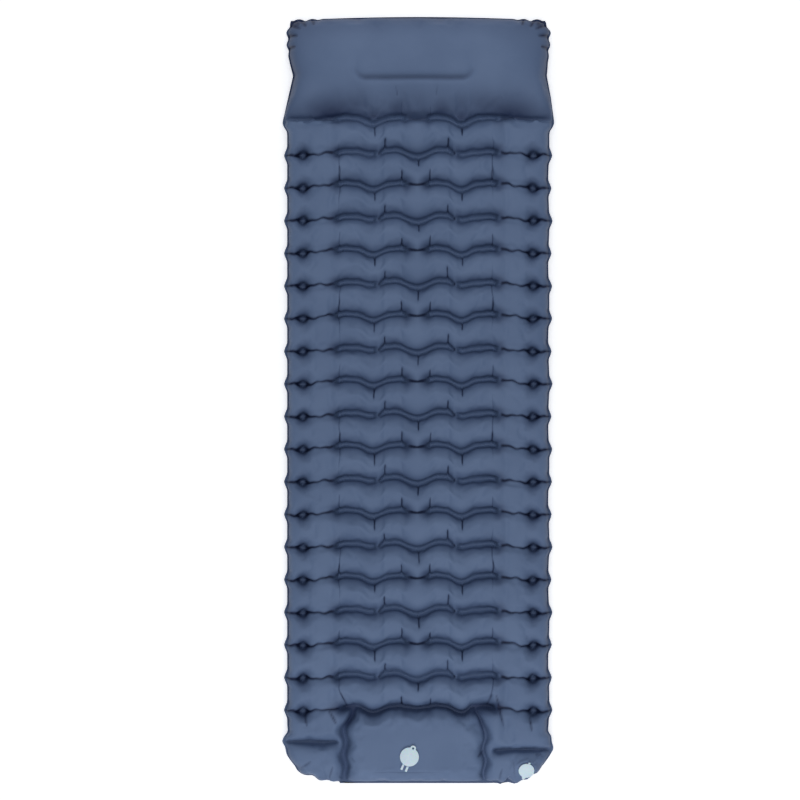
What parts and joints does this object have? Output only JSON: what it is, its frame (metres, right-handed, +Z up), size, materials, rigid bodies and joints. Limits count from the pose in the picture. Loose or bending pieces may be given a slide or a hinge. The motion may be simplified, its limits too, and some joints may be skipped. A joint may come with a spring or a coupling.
{
  "type": "inflatable sleeping mattress",
  "caption": "Long inflatable camping mattress of cross tubes with a raised pillow chamber at the head, a built-in foot pump at the foot and a capped air valve in one corner.",
  "frame": {"origin": "on the ground, below the middle of the mattress", "axes": "+Z up, +Y along the mattress towards the pillow, +X to the side that the air valve is on"},
  "size_m": [0.686, 1.95, 0.104],
  "materials": {
    "coated_nylon": "matt nylon taffeta with a film on its inner side",
    "coated_nylon_underside": "matt nylon taffeta, darker",
    "inner_film": "thin polyurethane film",
    "foam": "open-cell polyurethane foam",
    "valve_body": "soft moulded polyurethane, satin",
    "valve_cap": "soft moulded polyurethane, satin, slightly see-through",
    "valve_strap": "soft moulded polyurethane, satin",
    "silicone": "clear silicone"
  },
  "bodies": {
    "mattress": {"top_sheet": "coated_nylon", "bottom_sheet": "coated_nylon_underside", "pillow_tie_band": "inner_film", "pump_side_panel": "coated_nylon", "pump_liner": "inner_film", "pump_foam": "foam", "transfer_valve_seat": "valve_body", "valve_flange": "valve_body"},
    "pump_top": {"pump_panel": "coated_nylon", "intake_flange": "valve_body", "intake_tether": "valve_strap"},
    "intake_cap": {"intake_cap": "valve_cap"},
    "intake_flap": {"intake_flap": "silicone"},
    "transfer_flap": {"transfer_valve_flap": "silicone"},
    "air_valve_seat": {"valve_seat": "valve_body", "valve_tether": "valve_strap"},
    "air_valve_flap": {"valve_flap": "silicone"},
    "air_valve_cap": {"valve_cap": "valve_cap"}
  },
  "joints": [
    {"name": "pump_press", "type": "slide", "parent": "mattress", "child": "pump_top", "axis": [0, 0, -1], "range_m": [0, 0.033], "stiffness_N_per_m": 3000, "deforming": ["pump_foam", "pump_side_panel"]},
    {"name": "intake_cap_hinge", "type": "hinge", "parent": "pump_top", "child": "intake_cap", "pos_m": [-0.03173, -0.92438, 0.0812], "axis": [0.9171, -0.3987, 0], "range_deg": [0, 150]},
    {"name": "intake_flap_open", "type": "slide", "parent": "pump_top", "child": "intake_flap", "axis": [0, 0, -1], "range_m": [0, 0.0018], "stiffness_N_per_m": 60, "springref_m": -0.0005},
    {"name": "transfer_flap_open", "type": "slide", "parent": "mattress", "child": "transfer_flap", "axis": [0, 0, -1], "range_m": [0, 0.0018], "stiffness_N_per_m": 60, "springref_m": -0.0005},
    {"name": "air_valve_seat_pull", "type": "slide", "parent": "mattress", "child": "air_valve_seat", "axis": [0, -0.342, 0.9397], "range_m": [0, 0.012]},
    {"name": "air_valve_flap_open", "type": "slide", "parent": "air_valve_seat", "child": "air_valve_flap", "axis": [0, 0.342, -0.9397], "range_m": [0, 0.0018], "stiffness_N_per_m": 60, "springref_m": -0.0005},
    {"name": "air_valve_cap_hinge", "type": "hinge", "parent": "air_valve_seat", "child": "air_valve_cap", "pos_m": [0.28074, -0.92019, 0.08274], "axis": [-0.9426, 0.3137, 0.1142], "range_deg": [0, 150]}
  ]
}
